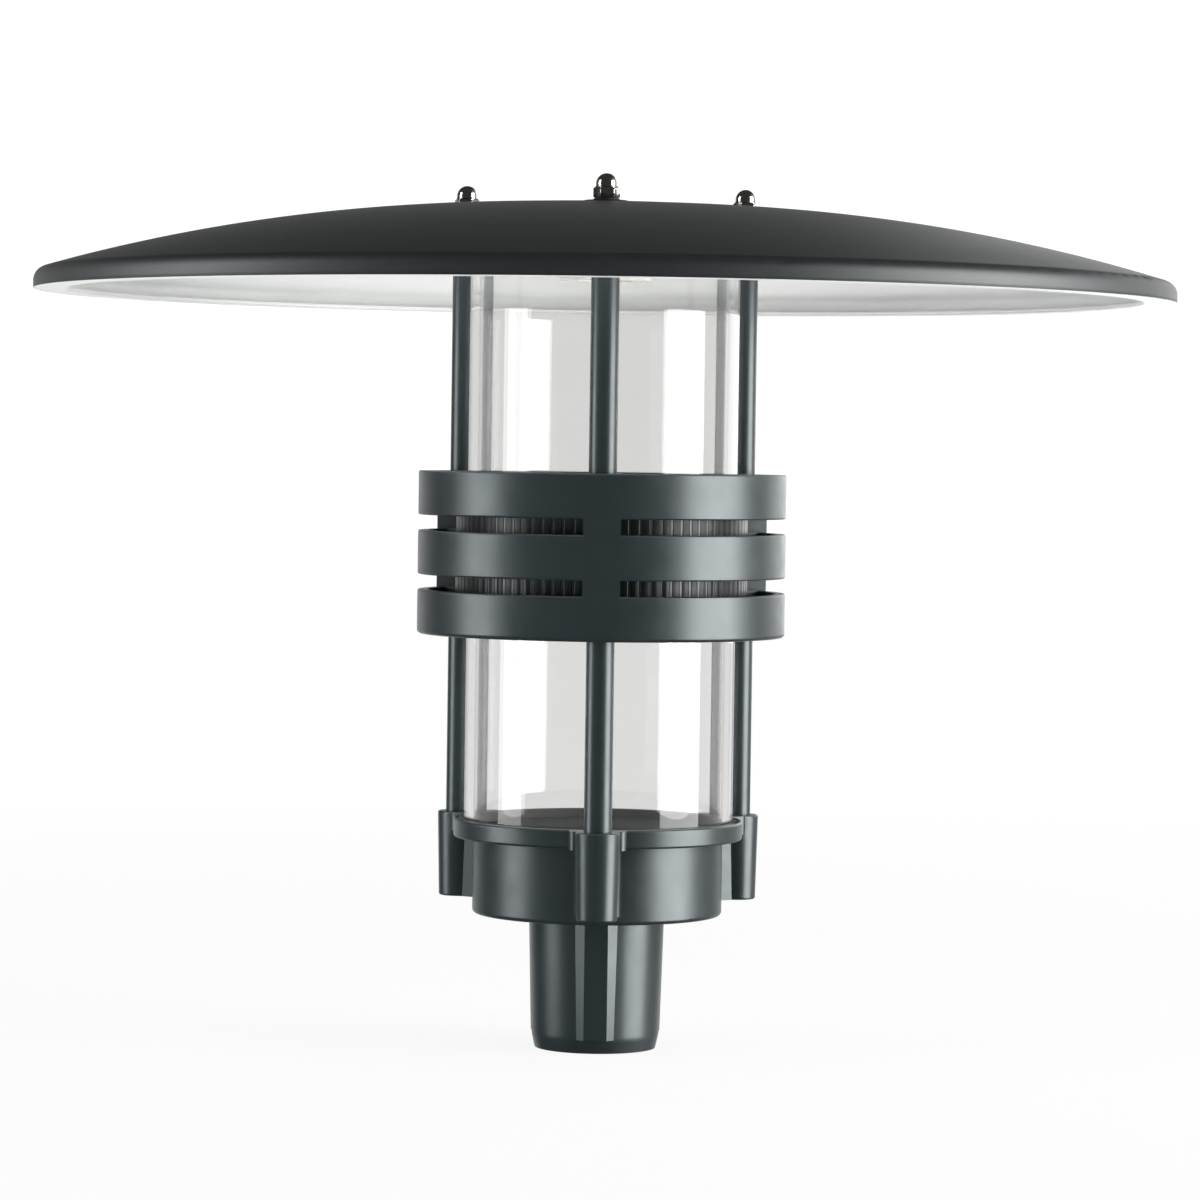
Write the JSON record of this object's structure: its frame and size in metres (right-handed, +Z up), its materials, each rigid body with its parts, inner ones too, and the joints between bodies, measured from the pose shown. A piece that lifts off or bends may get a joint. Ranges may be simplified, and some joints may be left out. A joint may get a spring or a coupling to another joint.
{
  "type": "post top light",
  "caption": "Post top garden light: wide shallow graphite shade on slim rods over a clear cylinder with a slotted ring, on a cast foot that sleeves over a post.",
  "frame": {"origin": "centre of the open lower end of the sleeve that fits over the post", "axes": "+Z up the light's axis, the front rod towards -Y"},
  "size_m": [0.58, 0.58, 0.442],
  "materials": {
    "graphite_paint": "satin dark graphite powder coat",
    "shade_paint": "satin dark graphite outside, white inside",
    "white_paint": "matt white powder coat",
    "clear_glass": "clear, polished",
    "stainless": "polished stainless steel",
    "zinc_steel": "zinc plated",
    "black_rubber": "matt black",
    "white_porcelain": "white glaze",
    "brass": "nickel free brass, dull",
    "terminal_plastic": "off white moulding"
  },
  "bodies": {
    "root": {"dome_shade": "shade_paint", "cap_nuts": "stainless", "seal_washers": "black_rubber", "dome_spacers": "zinc_steel", "top_plate": "white_paint", "glass_top_seal": "black_rubber", "glass_cylinder": "clear_glass", "glass_base_seal": "black_rubber", "louvre_ring": "graphite_paint", "base_casting": "graphite_paint", "base_cover": "graphite_paint", "cover_screws": "zinc_steel", "lampholder_body": "white_porcelain", "lampholder_shell": "brass", "lampholder_contact": "brass", "lampholder_screws": "zinc_steel", "terminal_block": "terminal_plastic", "terminal_screws": "zinc_steel", "terminal_fixings": "zinc_steel", "cable_grommet": "black_rubber", "set_screws": "zinc_steel", "rod_nuts": "zinc_steel", "tie_rod_front": "zinc_steel", "upper_tube_front": "graphite_paint", "lower_tube_front": "graphite_paint", "tie_rod_right": "zinc_steel", "upper_tube_right": "graphite_paint", "lower_tube_right": "graphite_paint", "tie_rod_left": "zinc_steel", "upper_tube_left": "graphite_paint", "lower_tube_left": "graphite_paint"}
  },
  "joints": []
}
